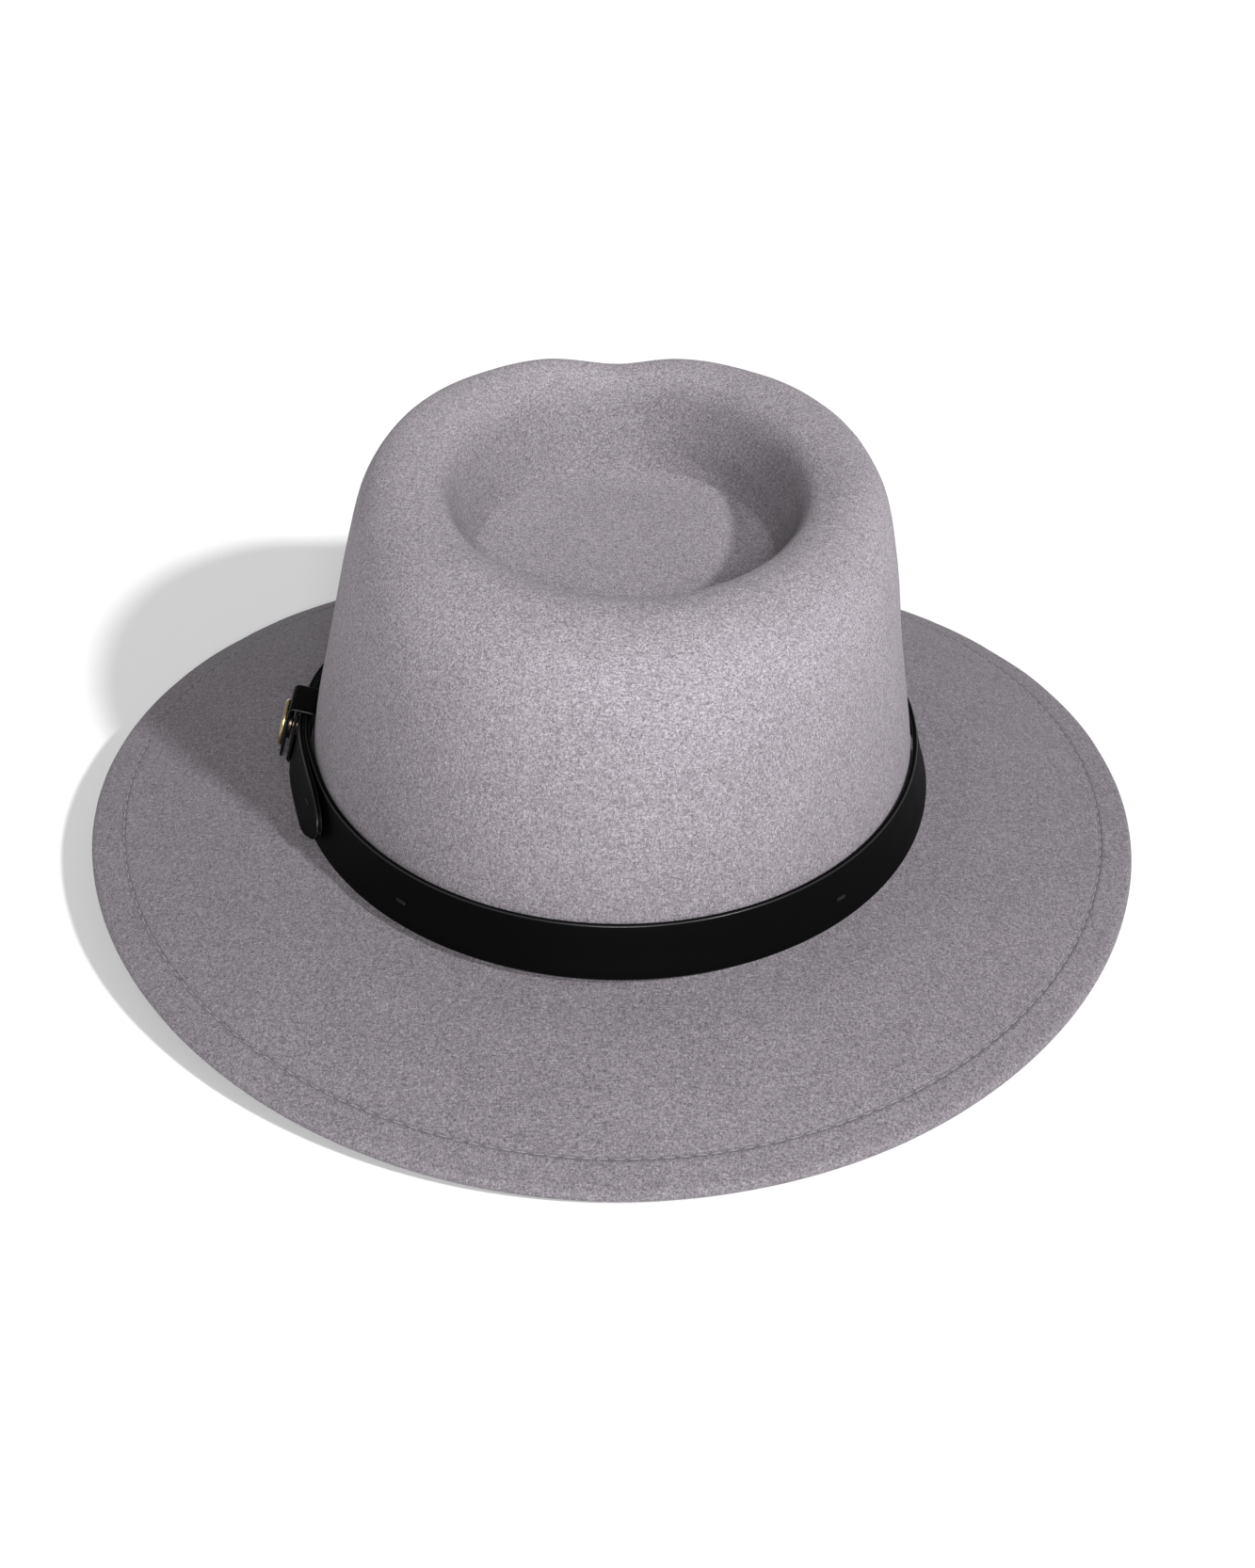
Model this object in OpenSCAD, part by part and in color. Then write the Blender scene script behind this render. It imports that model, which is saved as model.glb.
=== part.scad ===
// Fedora with a teardrop crown, a stitched brim edge and a leather band.
// Front of the hat is -Y, the wearer's left is +X, and the brim rests on Z = 0.

/* [Head] */
// half width of the head opening inside the felt
head_a = 83.5; // [80:0.5:88]
// half length of the head opening inside the felt
head_b = 99.5; // [96:0.5:104]
// thickness of the felt
felt = 2.2; // [1.8:0.1:2.6]

/* [Brim] */
// half width of the brim
brim_a = 149; // [142:1:156]
// half length of the brim
brim_b = 161; // [154:1:168]
// mean drop of the brim edge below the foot of the crown
edge_drop = 14; // [8:1:18]
// how much lower the edge is at front and back than the mean
edge_dip = 5; // [2:0.5:7]
// width of the turned-under edge
welt_width = 10.5; // [8:0.5:14]
// distance from the edge to the stitch line
stitch_inset = 9.5; // [7:0.5:11]
// number of stitches round the brim
stitch_count = 224; // [120:4:240]

/* [Crown] */
// height of the crest above the foot of the crown
crest_z = 86.5; // [82:0.5:92]
// height of the floor of the dent
floor_z = 64.4; // [60:0.2:66]
// how much higher the crest is at the front than at the back
front_rise = 4; // [0:0.5:8]
// depth of the dip at the front of the crest
front_dip = 3.5; // [0:0.5:6]
// how much narrower the dent is at the front
taper = 0.16; // [0:0.02:0.3]
// how far the soft crown's top sits towards the wearer's right
top_shift = 2; // [0:0.5:4]

/* [Band] */
// height of the leather strap
strap_h = 15.5; // [13:0.5:18]
// thickness of the leather strap
strap_t = 1.5; // [1.2:0.1:1.6]
// angle at which the strap's hidden end starts
strap_start = -24; // [-40:1:-20]
// angle at which the strap's rounded tip ends, after one full turn
strap_end = 387; // [376:1:400]
// height of the strap's lower edge above the foot of the crown
strap_z = 1.9; // [1.7:0.1:3.5]
// how much further the strap's lower edge stands out than its upper edge
strap_flare = 2; // [0.8:0.1:2.2]
// length of the strap's rounded tip
strap_tip = 12; // [8:1:16]

/* [Keeper] */
// angle of the keeper's middle
keeper_angle = -3; // [-12:0.5:0]
// width of the keeper
keeper_w = 14; // [12:0.5:16]
// diameter of the press stud's cap
cap_d = 13.5; // [11:0.5:14]

/* [Sweatband] */
// height of the sweatband
sweat_h = 32; // [28:1:36]
// thickness of the sweatband
sweat_t = 1; // [0.8:0.1:1.2]

/* [Hidden] */
// steps round the felt and round the small rings
round_n = 64;
strip_n = 96;
// thickness of the welt's lower layer and of the slit above it
welt_t = 1.8;
slit = 0.2;
fold_t = felt + slit + welt_t;
fold_r = fold_t / 2;
// wire, its sleeve and the pocket they lie in
wire_r = 0.6;
sleeve_r = 0.9;
pocket_r = 1.25;
pocket_u = 3.4;
// the outside of the crown at its foot
foot_a = head_a + felt;
foot_b = head_b + felt;
break_w = 5.5;
foot_z = 4;
brim_steps = 4;
brim_w = brim_a - foot_a - break_w;
knot_w = brim_w / brim_steps;
// lifts the foot of the crown so that the brim rests on zero
lift = edge_drop + edge_dip + fold_t - 0.17;
wall_slope = 2 / 18.5;
strap_top = strap_z + strap_h;
strap_lean = atan(wall_slope + strap_flare / strap_h);
gap = 0.3;
// layers of the keeper, counted outwards from the felt
hide_t = 0.8;
strap_near = 1.5;
strap_far = strap_near + 2 * strap_t + 0.2;
front_n = strap_far + gap;
flap_n = front_n + hide_t + 1.4;
flap_t = 0.8;
wrap_top = strap_top + 0.4;
wrap_bottom = strap_z - 1.3;
hinge_n = flap_n + flap_t / 2;
hinge_z = wrap_top + hide_t / 2;
hinge_r = 0.7;
stud_z = strap_z + strap_h / 2 - 0.2;
// length of strap to one degree round the band
degree_mm = 1.55;

// rings of the crown from its foot to the floor of the dent:
// half width, half length, centre Y, height, shares of the front rise, front dip, taper and shift
crown = [
  [foot_a + break_w, foot_b + break_w, 0, 0, 0, 0, 0, 0],
  [foot_a + 1.3, foot_b + 1.3, 0, 1, 0, 0, 0, 0],
  [foot_a, foot_b, 0, foot_z, 0, 0, 0, 0],
  [foot_a - 2, foot_b - 2, 0, foot_z + 18.5, 0, 0, 0, 0],
  [foot_a - 6.3, foot_b - 5.8, -0.5, 46, 0, 0, 0, 0.3],
  [foot_a - 10.4, foot_b - 10, -2, 67, 0.3, 0.1, -0.3, 0.9],
  [foot_a - 15.6, foot_b - 15, -6, 80.5, 0.7, 0.5, -0.8, 1.3],
  [foot_a - 24, foot_b - 23.5, -11, crest_z, 1, 1, -1.1, 1.5],
  [foot_a - 34, foot_b - 34.5, -13, crest_z - 2.5, 1, 1, 0.2, 1.5],
  [foot_a - 38, foot_b - 43.5, -11.5, crest_z - 12.5, 0.6, 0.4, 1, 1.5],
  [foot_a - 42, foot_b - 50, -12, floor_z + 1.7, 0.2, 0, 0.7, 1.6],
  [foot_a - 47, foot_b - 56, -12, floor_z + 0.1, 0, 0, 0.6, 1.6],
  [10, 12, -13, floor_z, 0, 0, 0, 1.6],
  [-8, -10, -13, floor_z, 0, 0, 0, 1.6]
];
crown_last = 12;

function unit(v) = v / norm(v);
function mix(a, b, f) = a + (b - a) * f;
function clamp01(x) = min(1, max(0, x));
function ease(x) = let(c = clamp01(x)) c * c * (3 - 2 * c);
function frontness(t) = pow((1 - sin(t)) / 2, 2);
function edge_z(t) = edge_dip * cos(2 * t) - edge_drop;

// a point of one ring of the outer surface: k < 0 on the brim, k >= 0 on the crown
function crown_knot(k, t) =
  let(r = crown[min(k, crown_last + 1)])
  let(x = r[0] * cos(t) * (1 - taper * r[6] * frontness(t)))
  let(rise = front_rise * r[4] * (1 - sin(t)) / 2)
  let(dip = front_dip * r[5] * exp(-pow(x / 15, 2)) * ease(-sin(t) * 2))
  [x - top_shift * r[7], r[2] + r[1] * sin(t), lift + r[3] + rise - dip];
function brim_knot(u, t) =
  [mix(foot_a + break_w, brim_a, u) * cos(t),
   mix(foot_b + break_w, brim_b, u) * sin(t),
   lift + edge_z(t) * pow(max(u, 0), 1.5)];
function knot(k, t) = k >= 0 ? crown_knot(k, t) : brim_knot(-k / brim_steps, t);

// smooth curve through the rings at one angle
function skin(t, v) =
  let(i = floor(v), f = v - i)
  let(a = knot(i - 1, t), b = knot(i, t), c = knot(i + 1, t), d = knot(i + 2, t))
  (b * 2 + (c - a) * f + (a * 2 - b * 5 + c * 4 - d) * f * f
   + (b * 3 - a - c * 3 + d) * f * f * f) / 2;
function along(t, v) = unit(skin(t, v + 0.02) - skin(t, v - 0.02));
function outward(t, v) = unit(cross(skin(t + 0.2, v) - skin(t - 0.2, v), along(t, v)));
// a point at depth d under the outer surface
function under(t, v, d) = skin(t, v) - outward(t, v) * d;
function wall_v(z) = 2 + (z - foot_z) / 18.5;
function edge_v(u) = u / knot_w - brim_steps;

// closed band of cross-sections; each section runs anticlockwise seen along the band
function quad(a, b, c, d) = [[a, b, c], [a, c, d]];
module loft(sections, closed = true) {
  m = len(sections);
  k = len(sections[0]);
  spans = closed ? m : m - 1;
  points = [for (s = sections) each s];
  sides = [for (i = [0:spans - 1], j = [0:k - 1])
    let(p = (i + 1) % m, q = (j + 1) % k)
    each quad(i * k + j, i * k + q, p * k + q, p * k + j)];
  caps = closed ? [] : [
    [for (j = [k - 1:-1:0]) j],
    [for (j = [0:k - 1]) (m - 1) * k + j]
  ];
  polyhedron(points, concat(sides, caps), convexity = 6);
}

// ring of round cord of radius r on the path c(t)
function frame_ring(c, e, n, r, k) =
  [for (j = [0:k - 1]) c + (e * cos(j * 360 / k) + n * sin(j * 360 / k)) * r];

// local frame on the wall at one angle: outward, up along the lean, and forward tangent
module on_wall(t) {
  p = [foot_a * cos(t), foot_b * sin(t), 0];
  turn = atan2(sin(t) / foot_b, cos(t) / foot_a);
  translate([p[0], p[1], lift])
    rotate([0, 0, turn])
      translate([strap_top * tan(strap_lean) - (strap_top - foot_z) * wall_slope, 0, 0])
        rotate([0, -strap_lean, 0])
          children();
}
module facing_out(n, z) {
  translate([n, 0, z]) rotate([0, 90, 0]) children();
}

crown_steps = [for (i = [0:crown_last * 2]) i / 2];
module crown_felt() {
  m = len(crown_steps);
  angles = [for (i = [0:round_n - 1]) i * 360 / round_n];
  outer = [for (v = crown_steps) each [for (t = angles) skin(t, v)]];
  inner = [for (v = crown_steps) each [for (t = angles) under(t, v, felt)]];
  top = [-top_shift * crown[crown_last][7], crown[crown_last][2], lift + floor_z];
  inner_at = m * round_n;
  top_at = 2 * inner_at;
  walls = [for (i = [0:m - 2], j = [0:round_n - 1])
    let(q = (j + 1) % round_n)
    each concat(
      quad(i * round_n + j, (i + 1) * round_n + j, (i + 1) * round_n + q, i * round_n + q),
      quad(inner_at + i * round_n + q, inner_at + (i + 1) * round_n + q,
           inner_at + (i + 1) * round_n + j, inner_at + i * round_n + j))];
  ends = [for (j = [0:round_n - 1])
    let(q = (j + 1) % round_n)
    each concat(
      quad(inner_at + j, j, q, inner_at + q),
      [[inner_at - round_n + j, top_at, inner_at - round_n + q],
       [top_at - round_n + q, top_at + 1, top_at - round_n + j]])];
  color("#8f8a90")
    polyhedron(concat(outer, inner, [top, top - [0, 0, felt]]), concat(walls, ends), convexity = 8);
}

// cross-section of the brim at one angle, with the edge turned under and a pocket for the wire
function brim_section(t) =
  let(ve = edge_v(fold_r), c = under(t, ve, fold_r), n = outward(t, ve), e = -along(t, ve))
  let(pc = under(t, edge_v(pocket_u), felt + slit / 2))
  concat(
    [for (a = [0:30:180]) c + (e * sin(a) - n * cos(a)) * fold_r],
    [for (u = [stitch_inset - 4, stitch_inset - 1]) skin(t, edge_v(u))],
    [under(t, edge_v(stitch_inset), 0.35)],
    [skin(t, edge_v(stitch_inset + 1))],
    [for (v = [-3:0.5:0]) skin(t, v)],
    [for (v = [0:-0.5:-3]) under(t, v, felt)],
    [under(t, edge_v(welt_width), felt)],
    [for (a = [20:40:340]) pc + (-e * cos(a) + n * sin(a)) * pocket_r],
    [under(t, edge_v(welt_width), felt + slit)],
    [under(t, edge_v(welt_width), fold_t)],
    [under(t, edge_v(welt_width / 2), fold_t)]
  );
module brim_felt() {
  color("#837e85") loft([for (i = [0:round_n - 1]) brim_section(i * 360 / round_n)]);
}

function pocket_centre(t) = under(t, edge_v(pocket_u), felt + slit / 2);
function cord_section(t, c, v, r, k) = frame_ring(c, -along(t, v), outward(t, v), r, k);
module brim_wire() {
  v = edge_v(pocket_u);
  color("#9aa0a6")
    loft([for (i = [0:strip_n - 1])
      let(t = i * 360 / strip_n) cord_section(t, pocket_centre(t), v, wire_r, 6)]);
}
// sleeve crimped over the two ends of the wire, at the back
module wire_joiner() {
  v = edge_v(pocket_u);
  tube = [for (t = [86.5:1:93.5]) cord_section(t, pocket_centre(t), v, sleeve_r, 12)];
  bore = [for (t = [86:1:94]) cord_section(t, pocket_centre(t), v, wire_r + 0.06, 12)];
  color("#b9bcc0")
    difference() {
      loft(tube, false);
      loft(bore, false);
    }
}

// one stitch of thread lying in the groove
module stitch_bar(a, b, up, r) {
  side = unit(cross(b - a, up));
  loft([for (p = [a, b]) [p - side * r - up * r, p - side * r + up * r, p + side * r + up * r,
    p + side * r - up * r]], false);
}
module brim_stitches() {
  v = edge_v(stitch_inset);
  step = 360 / stitch_count;
  color("#c9c5c2")
    for (i = [0:stitch_count - 1]) {
      t = i * step;
      stitch_bar(under(t, v, 0.2), under(t + step * 0.62, v, 0.2), outward(t, v), 0.22);
    }
}

// how far the strap stands off the felt at angle s, which runs on past 360 for the outer turn
function from_keeper(s) = abs(s - keeper_angle) * degree_mm;
function strap_off(s) =
  let(near = min(from_keeper(s), from_keeper(s - 360)))
  mix(strap_near, 0.4, ease((near - 9) / 22))
  + (strap_t + 0.2) * ease((s - (strap_start + 360 - 16)) / 14)
  + 1.1 * ease((s - strap_end + 20) / 20);
function tip_scale(s) =
  let(d = (strap_end - s) * degree_mm / strap_tip)
  d >= 1 ? 1 : sqrt(max(0.02, 1 - pow(1 - d, 2)));
function strap_face(s, z, off) =
  let(v = wall_v(max(z, foot_z)))
  skin(s, v) + along(s, v) * min(0, z - foot_z) + outward(s, v) * (off + flare_at(z));
function strap_section(s) =
  let(o = strap_off(s), k = tip_scale(s), m = strap_z + strap_h / 2, h = strap_h / 2 * k, c = 0.3)
  [strap_face(s, m - h, o + c), strap_face(s, m - h, o + strap_t - c),
   strap_face(s, m - h + c * k, o + strap_t), strap_face(s, m, o + strap_t),
   strap_face(s, m + h - c * k, o + strap_t), strap_face(s, m + h, o + strap_t - c),
   strap_face(s, m + h, o + c), strap_face(s, m + h - c * k, o),
   strap_face(s, m, o), strap_face(s, m - h + c * k, o)];
module hat_band() {
  body = [for (s = [strap_start:4:strap_end - 8]) s];
  tip = [for (d = [7.6, 6, 4.5, 3.2, 2.2, 1.2, 0.5, 0.1, 0]) strap_end - d];
  color("#1d1c1e") loft([for (s = concat(body, tip)) strap_section(s)], false);
}

// tack of doubled thread: a short bar on the strap's face and a leg down at each end
module tack(s, off, depth, z) {
  p = skin(s, wall_v(z)) + outward(s, wall_v(z)) * off;
  n = outward(s, wall_v(z));
  translate(p)
    rotate([0, acos(n[2]), atan2(n[1], n[0])]) {
      translate([0, 0, 0.1])
        rotate([90, 0, 0]) cylinder(h = tack_l, r = tack_r, center = true, $fn = 16);
      for (y = [-1, 1] * (tack_l / 2 - tack_r))
        translate([0, y, -depth]) cylinder(h = depth, r = tack_r * 0.8, $fn = 16);
    }
}
tack_l = 3;
tack_r = 0.4;
band_tack_angles = [50, 130, 230, 310];
function flare_at(z) = strap_flare * (1 - (z - strap_z) / strap_h);
module band_tacks() {
  z = strap_z + strap_h / 2;
  color("#2b2a2c")
    for (s = band_tack_angles) {
      off = strap_off(s) + flare_at(z) + strap_t;
      tack(s, off, off + felt, z);
    }
}
// one more tack holds the outer turn's tip to the turn below it
module tip_tack() {
  s = strap_end - 6;
  z = strap_z + strap_h - 4.3;
  color("#a89a6a") tack(s, strap_off(s) + flare_at(z) + strap_t, 2 * strap_t + 0.6, z);
}

// keeper: leather wrapped round the strap from below, its front plate carrying the stud
module profile_bar(points, w) {
  rotate([90, 0, 0]) linear_extrude(height = w, center = true) polygon(points);
}
module keeper_wrap() {
  top = wrap_top + hide_t;
  front_top = wrap_top - 2;
  outer_n = front_n + hide_t;
  end_n = hinge_n - hinge_r - gap;
  b = wrap_bottom;
  points = [[gap + 1.2, b], [outer_n - 0.6, b], [outer_n, b + 0.6], [outer_n, front_top],
    [front_n, front_top], [front_n, b + hide_t], [gap + hide_t, b + hide_t],
    [gap + hide_t, wrap_top], [end_n, wrap_top], [end_n, top], [gap + 0.6, top],
    [gap, top - 0.6], [gap, b + 1.4]];
  color("#232124")
    on_wall(keeper_angle)
      difference() {
        profile_bar(points, keeper_w);
        facing_out(front_n - 1, stud_z) cylinder(h = hide_t + 2, r = 1.1, $fn = 32);
      }
}
module keeper_flap() {
  half = keeper_w / 2;
  tip_z = wrap_bottom - 1.4;
  color("#29272a")
    on_wall(keeper_angle)
      difference() {
        union() {
          translate([hinge_n, 0, hinge_z])
            rotate([90, 0, 0]) cylinder(h = keeper_w, r = hinge_r, center = true, $fn = 32);
          translate([flap_n, -half, tip_z + half])
            cube([flap_t, keeper_w, hinge_z - tip_z - half]);
          facing_out(flap_n, tip_z + half) cylinder(h = flap_t, r = half, $fn = 64);
        }
        facing_out(flap_n - 1, stud_z) cylinder(h = flap_t + 2, r = 1.3, $fn = 32);
      }
}

// press stud: cap and socket on the flap, stud and eyelet on the wrap
module turned(profile) {
  rotate_extrude($fn = 64) polygon(profile);
}
module snap_cap() {
  r = cap_d / 2;
  h = flap_n + flap_t;
  color("#a8905a")
    on_wall(keeper_angle)
      facing_out(h, stud_z)
        turned([[0, -0.85], [1.2, -0.85], [1.2, 0], [r - 0.4, 0], [r, 0.4], [r, 0.9], [r - 0.5, 1.3],
          [r - 1.1, 1.2], [r - 1.5, 0.8], [r - 3.5, 1.1], [0, 1.3]]);
}
module snap_socket() {
  color("#8c7a50")
    on_wall(keeper_angle)
      facing_out(flap_n - 0.9, stud_z)
        turned([[2.1, 0], [4.2, 0], [4.4, 0.2], [4.4, 0.9], [1.25, 0.9], [1.25, 0.75], [2.7, 0.75],
          [2.7, 0.3], [2.1, 0.3]]);
}
module snap_spring() {
  color("#c0c4c8")
    on_wall(keeper_angle)
      facing_out(flap_n - 0.38, stud_z)
        rotate_extrude($fn = 48) translate([2.35, 0]) circle(r = 0.2, $fn = 16);
}
module snap_stud() {
  color("#8c7a50")
    on_wall(keeper_angle)
      facing_out(front_n + hide_t, stud_z)
        turned([[0, 0], [3.6, 0], [3.6, 0.2], [1.6, 0.2], [1.5, 0.45], [1.8, 0.75], [1.7, 0.95],
          [1.2, 1.05], [0, 1.05]]);
}
module snap_eyelet() {
  color("#7d6d48")
    on_wall(keeper_angle)
      facing_out(front_n - 0.25, stud_z)
        turned([[0.5, 0], [3, 0], [3, 0.25], [1, 0.25], [1, hide_t + 0.2], [0.5, hide_t + 0.2]]);
}

// sweatband and what is sewn to it, at depths under the outer surface
sweat_in = felt + gap;
sweat_low = 5;
function sweat_section(t) =
  let(d = sweat_in, e = sweat_in + sweat_t, top = sweat_low + sweat_h)
  concat(
    [for (z = [sweat_low, sweat_low + sweat_h / 3, sweat_low + sweat_h * 2 / 3, top])
      under(t, wall_v(z), d)],
    [for (z = [top, sweat_low + sweat_h * 2 / 3, sweat_low + sweat_h / 3, sweat_low])
      under(t, wall_v(z), e)]
  );
module sweatband() {
  color("#4a4648") loft([for (i = [0:strip_n - 1]) sweat_section(i * 360 / strip_n)]);
}
reed_r = 1;
reed_v = wall_v(sweat_low - 1.6);
function reed_centre(t) = under(t, reed_v, sweat_in + 1.6);
module sweatband_reed() {
  color("#d8d6d0")
    loft([for (i = [0:strip_n - 1])
      let(t = i * 360 / strip_n) cord_section(t, reed_centre(t), reed_v, reed_r, 8)]);
}
// tape folded under the reed, open at the top
function tape_section(t) =
  let(c = reed_centre(t), u = along(t, reed_v), n = outward(t, reed_v))
  concat(
    [for (a = [200:40:340]) c + (n * cos(a) + u * sin(a)) * 1.45],
    [for (a = [340:-40:200]) c + (n * cos(a) + u * sin(a)) * 1.2]
  );
module reed_tape() {
  color("#3a383a") loft([for (i = [0:strip_n - 1]) tape_section(i * 360 / strip_n)]);
}
sweat_stitch_count = 144;
module sweatband_stitches() {
  step = 360 / sweat_stitch_count;
  v = wall_v(sweat_low + 2);
  d = sweat_in + sweat_t - 0.1;
  color("#8a8688")
    for (i = [0:sweat_stitch_count - 1]) {
      t = i * step;
      stitch_bar(under(t, v, d), under(t + step * 0.65, v, d), outward(t, v), 0.2);
    }
}
// flat frame on the inside of the sweatband at the back, y pointing into the hat
module inside_back(z) {
  p = under(90, wall_v(z), sweat_in + sweat_t + 0.9);
  translate(p) rotate([6, 0, 0]) children();
}
module sweatband_bow() {
  color("#2a282a")
    inside_back(sweat_low + 25)
      for (side = [-1, 1]) {
        translate([side * 4.6, -0.5, 0])
          rotate([90, 0, 0]) scale([1, 0.55, 1])
            cylinder(h = 0.9, r = 4.2, center = true, $fn = 32);
        translate([0, -0.55, 0]) cube([2.4, 1.1, 3], center = true);
      }
}
module size_label() {
  color("#e4e1da")
    inside_back(sweat_low + 13)
      translate([-9, -0.35, -6]) cube([18, 0.25, 12]);
}

crown_felt();
brim_felt();
brim_wire();
wire_joiner();
brim_stitches();
hat_band();
tip_tack();
band_tacks();
keeper_wrap();
keeper_flap();
snap_cap();
snap_socket();
snap_spring();
snap_stud();
snap_eyelet();
sweatband();
sweatband_reed();
reed_tape();
sweatband_stitches();
sweatband_bow();
size_label();
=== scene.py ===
import bpy
import bmesh
import functools
import math
import random
from mathutils import Matrix, Vector, noise


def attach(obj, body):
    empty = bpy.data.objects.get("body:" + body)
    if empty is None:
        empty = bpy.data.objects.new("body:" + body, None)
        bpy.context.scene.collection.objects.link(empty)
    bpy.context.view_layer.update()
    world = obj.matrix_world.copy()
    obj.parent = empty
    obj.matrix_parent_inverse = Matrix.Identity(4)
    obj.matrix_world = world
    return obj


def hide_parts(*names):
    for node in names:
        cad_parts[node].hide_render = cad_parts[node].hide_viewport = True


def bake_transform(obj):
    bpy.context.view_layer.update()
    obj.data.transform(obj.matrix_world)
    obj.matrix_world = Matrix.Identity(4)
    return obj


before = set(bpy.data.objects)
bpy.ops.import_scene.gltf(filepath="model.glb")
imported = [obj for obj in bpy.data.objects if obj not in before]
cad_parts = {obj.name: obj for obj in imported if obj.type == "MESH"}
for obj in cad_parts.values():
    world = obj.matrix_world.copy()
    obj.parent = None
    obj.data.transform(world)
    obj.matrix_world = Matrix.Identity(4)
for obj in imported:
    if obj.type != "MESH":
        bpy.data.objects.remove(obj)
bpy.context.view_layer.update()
mm = 0.001
rng = random.Random(7)

# the hat's own shape in millimetres: front is -Y, the wearer's left is +X
hat = {
    "headHalfWidth": 83.5, "headHalfLength": 99.5, "felt": 2.2,
    "brimHalfWidth": 149, "brimHalfLength": 161, "edgeDrop": 14, "edgeDip": 5,
    "weltWidth": 10.5, "weltLayer": 1.8, "slit": 0.2, "stitchInset": 9.5, "breakWidth": 5.5,
    "footHeight": 4, "crest": 86.5, "floor": 64.4, "frontRise": 4, "frontDip": 3.5,
    "dentTaper": 0.16, "topShift": 2, "wallRise": 18.5, "wallLean": 2, "settle": 0.17,
}
footA = hat["headHalfWidth"] + hat["felt"]
footB = hat["headHalfLength"] + hat["felt"]
foldThick = hat["felt"] + hat["slit"] + hat["weltLayer"]
lift = hat["edgeDrop"] + hat["edgeDip"] + foldThick - hat["settle"]
brimKnots = 4
knotWidth = (hat["brimHalfWidth"] - footA - hat["breakWidth"]) / brimKnots
crest, floorZ, foot = hat["crest"], hat["floor"], hat["footHeight"]
wallRise, wallLean = hat["wallRise"], hat["wallLean"]

# half width, half length, centre Y, height, shares of front rise, front dip, taper and shift
crownRings = [
    (footA + hat["breakWidth"], footB + hat["breakWidth"], 0, 0, 0, 0, 0, 0),
    (footA + 1.3, footB + 1.3, 0, 1, 0, 0, 0, 0),
    (footA, footB, 0, foot, 0, 0, 0, 0),
    (footA - wallLean, footB - wallLean, 0, foot + wallRise, 0, 0, 0, 0),
    (footA - 6.3, footB - 5.8, -0.5, 46, 0, 0, 0, 0.3),
    (footA - 10.4, footB - 10, -2, 67, 0.3, 0.1, -0.3, 0.9),
    (footA - 15.6, footB - 15, -6, 80.5, 0.7, 0.5, -0.8, 1.3),
    (footA - 24, footB - 23.5, -11, crest, 1, 1, -1.1, 1.5),
    (footA - 34, footB - 34.5, -13, crest - 2.5, 1, 1, 0.2, 1.5),
    (footA - 38, footB - 43.5, -11.5, crest - 12.5, 0.6, 0.4, 1, 1.5),
    (footA - 42, footB - 50, -12, floorZ + 1.7, 0.2, 0, 0.7, 1.6),
    (footA - 47, footB - 56, -12, floorZ + 0.1, 0, 0, 0.6, 1.6),
    (10, 12, -13, floorZ, 0, 0, 0, 1.6),
    (-8, -10, -13, floorZ, 0, 0, 0, 1.6),
]
lastRing = 12


def ease(x):
    c = min(1, max(0, x))
    return c * c * (3 - 2 * c)


def blendValue(a, b, f):
    return a + (b - a) * f


def crownKnot(k, t):
    a, b, cy, z, rise, dip, narrow, side = crownRings[min(k, lastRing + 1)]
    s = math.sin(t)
    frontShare = ((1 - s) / 2) ** 2
    x = a * math.cos(t) * (1 - hat["dentTaper"] * narrow * frontShare)
    up = hat["frontRise"] * rise * (1 - s) / 2
    down = hat["frontDip"] * dip * math.exp(-(x / 15) ** 2) * ease(-s * 2)
    return Vector((x - hat["topShift"] * side, cy + b * s, lift + z + up - down))


def brimKnot(u, t):
    edge = hat["edgeDip"] * math.cos(2 * t) - hat["edgeDrop"]
    return Vector((
        blendValue(footA + hat["breakWidth"], hat["brimHalfWidth"], u) * math.cos(t),
        blendValue(footB + hat["breakWidth"], hat["brimHalfLength"], u) * math.sin(t),
        lift + edge * max(u, 0) ** 1.5))


@functools.lru_cache(maxsize=None)
def knot(k, t):
    return crownKnot(k, t) if k >= 0 else brimKnot(-k / brimKnots, t)


# one smooth curve through all the rings at the angle t, from the brim's edge at -4 to the dent at 12
def skin(t, v):
    i = math.floor(v)
    f = v - i
    a, b, c, d = (knot(i + n, t) for n in (-1, 0, 1, 2))
    return (b * 2 + (c - a) * f + (a * 2 - b * 5 + c * 4 - d) * f ** 2
            + (b * 3 - a - c * 3 + d) * f ** 3) / 2


def along(t, v):
    return (skin(t, v + 0.02) - skin(t, v - 0.02)).normalized()


def outward(t, v):
    turn = skin(t + 0.004, v) - skin(t - 0.004, v)
    return turn.cross(along(t, v)).normalized()


# soft unevenness of blocked wool felt, broad and fine
unevenness = {"broad": 0.22, "broadSize": 26, "fine": 0.1, "fineSize": 9}


def wave(p):
    broad = unevenness["broad"] * noise.noise(p / unevenness["broadSize"])
    fine = unevenness["fine"] * noise.noise(p / unevenness["fineSize"] + Vector((7, 3, 1)))
    return broad + fine


def under(t, v, depth):
    n = outward(t, v)
    p = skin(t, v)
    return p + n * (wave(p) - depth)


def wallV(z):
    return 2 + (z - foot) / wallRise


def edgeV(u):
    return u / knotWidth - brimKnots


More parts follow.
